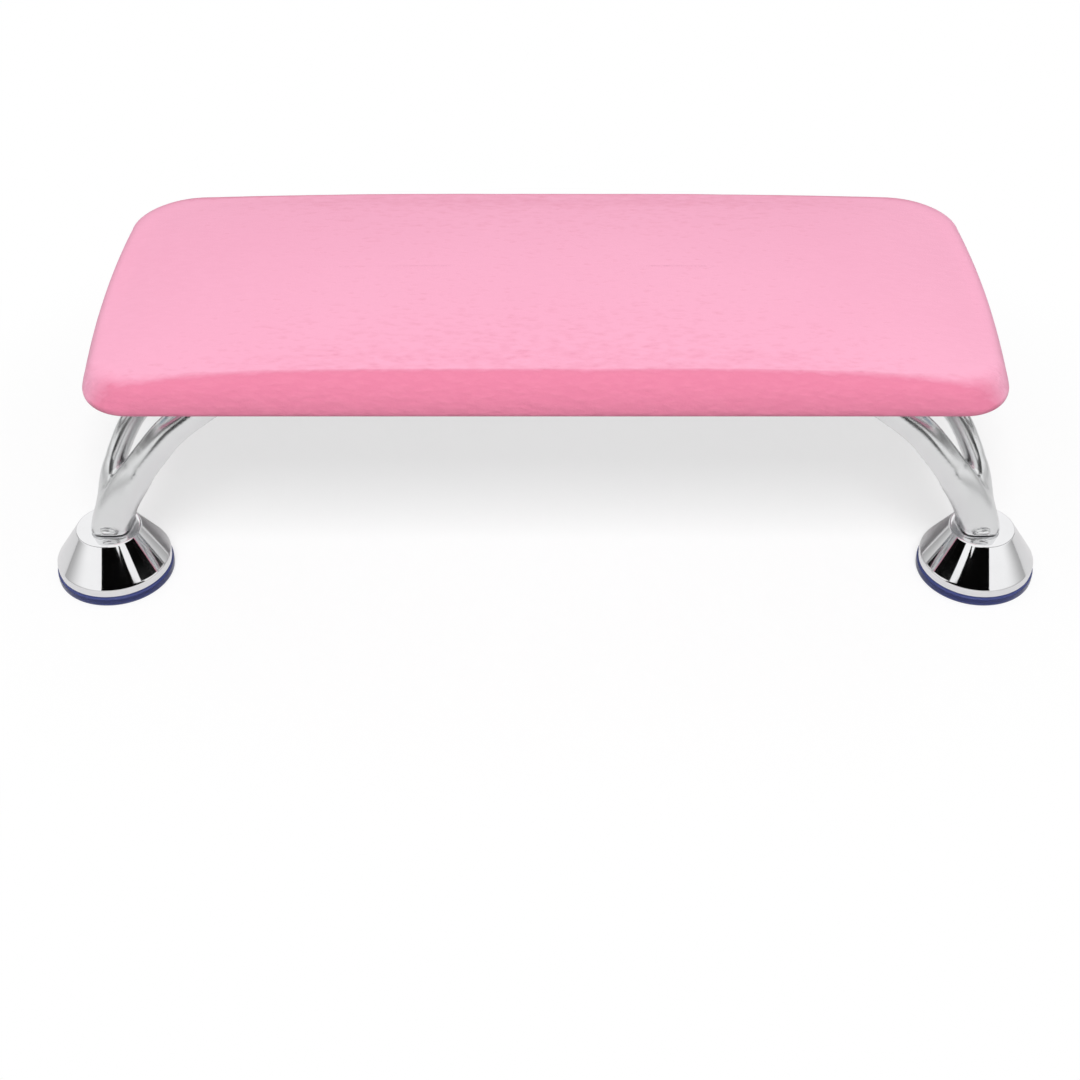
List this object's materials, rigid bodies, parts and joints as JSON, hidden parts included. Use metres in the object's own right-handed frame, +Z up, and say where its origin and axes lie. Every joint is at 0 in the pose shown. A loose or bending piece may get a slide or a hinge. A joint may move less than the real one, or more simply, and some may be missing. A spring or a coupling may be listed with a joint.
{
  "type": "manicure hand rest",
  "caption": "Long low padded arm rest with a domed leather cushion on a moulded board, held up by curved forked metal legs that end in bell feet with suction cups.",
  "frame": {"origin": "on the table, under the middle of the pad", "axes": "+X along the pad to its right, +Y from the front long side to the rear one, +Z up from the table"},
  "size_m": [0.3876, 0.1734, 0.0988],
  "materials": {
    "pink_leather": "soft satin with a fine grain",
    "foam": "open-cell sponge",
    "white_plastic": "moulded, satin",
    "chrome_casting": "plated casting, bright",
    "chrome_foot": "plated, mirror bright",
    "clear_blue_vinyl": "soft, see-through, blue",
    "zinc_foot_hardware": "zinc plated",
    "blue_zinc": "blue zinc plated"
  },
  "bodies": {
    "root": {"pad_cover": "pink_leather", "foam_core": "foam", "base_board": "white_plastic", "leg_front_left": "chrome_casting", "leg_front_right": "chrome_casting", "leg_rear_left": "chrome_casting", "leg_rear_right": "chrome_casting", "foot_bell_front_left": "chrome_foot", "foot_bell_front_right": "chrome_foot", "foot_bell_rear_left": "chrome_foot", "foot_bell_rear_right": "chrome_foot", "suction_cup_front_left": "clear_blue_vinyl", "suction_cup_front_right": "clear_blue_vinyl", "suction_cup_rear_left": "clear_blue_vinyl", "suction_cup_rear_right": "clear_blue_vinyl", "foot_washer_front_left": "zinc_foot_hardware", "foot_washer_front_right": "zinc_foot_hardware", "foot_washer_rear_left": "zinc_foot_hardware", "foot_washer_rear_right": "zinc_foot_hardware", "foot_screw_front_left": "zinc_foot_hardware", "foot_screw_front_right": "zinc_foot_hardware", "foot_screw_rear_left": "zinc_foot_hardware", "foot_screw_rear_right": "zinc_foot_hardware", "screw_front_left_front_ear": "blue_zinc", "screw_front_left_middle_ear": "blue_zinc", "screw_front_left_pocket": "blue_zinc", "screw_front_left_outer_ear": "blue_zinc", "screw_front_right_front_ear": "blue_zinc", "screw_front_right_middle_ear": "blue_zinc", "screw_front_right_pocket": "blue_zinc", "screw_front_right_outer_ear": "blue_zinc", "screw_rear_left_front_ear": "blue_zinc", "screw_rear_left_middle_ear": "blue_zinc", "screw_rear_left_pocket": "blue_zinc", "screw_rear_left_outer_ear": "blue_zinc", "screw_rear_right_front_ear": "blue_zinc", "screw_rear_right_middle_ear": "blue_zinc", "screw_rear_right_pocket": "blue_zinc", "screw_rear_right_outer_ear": "blue_zinc"}
  },
  "joints": []
}
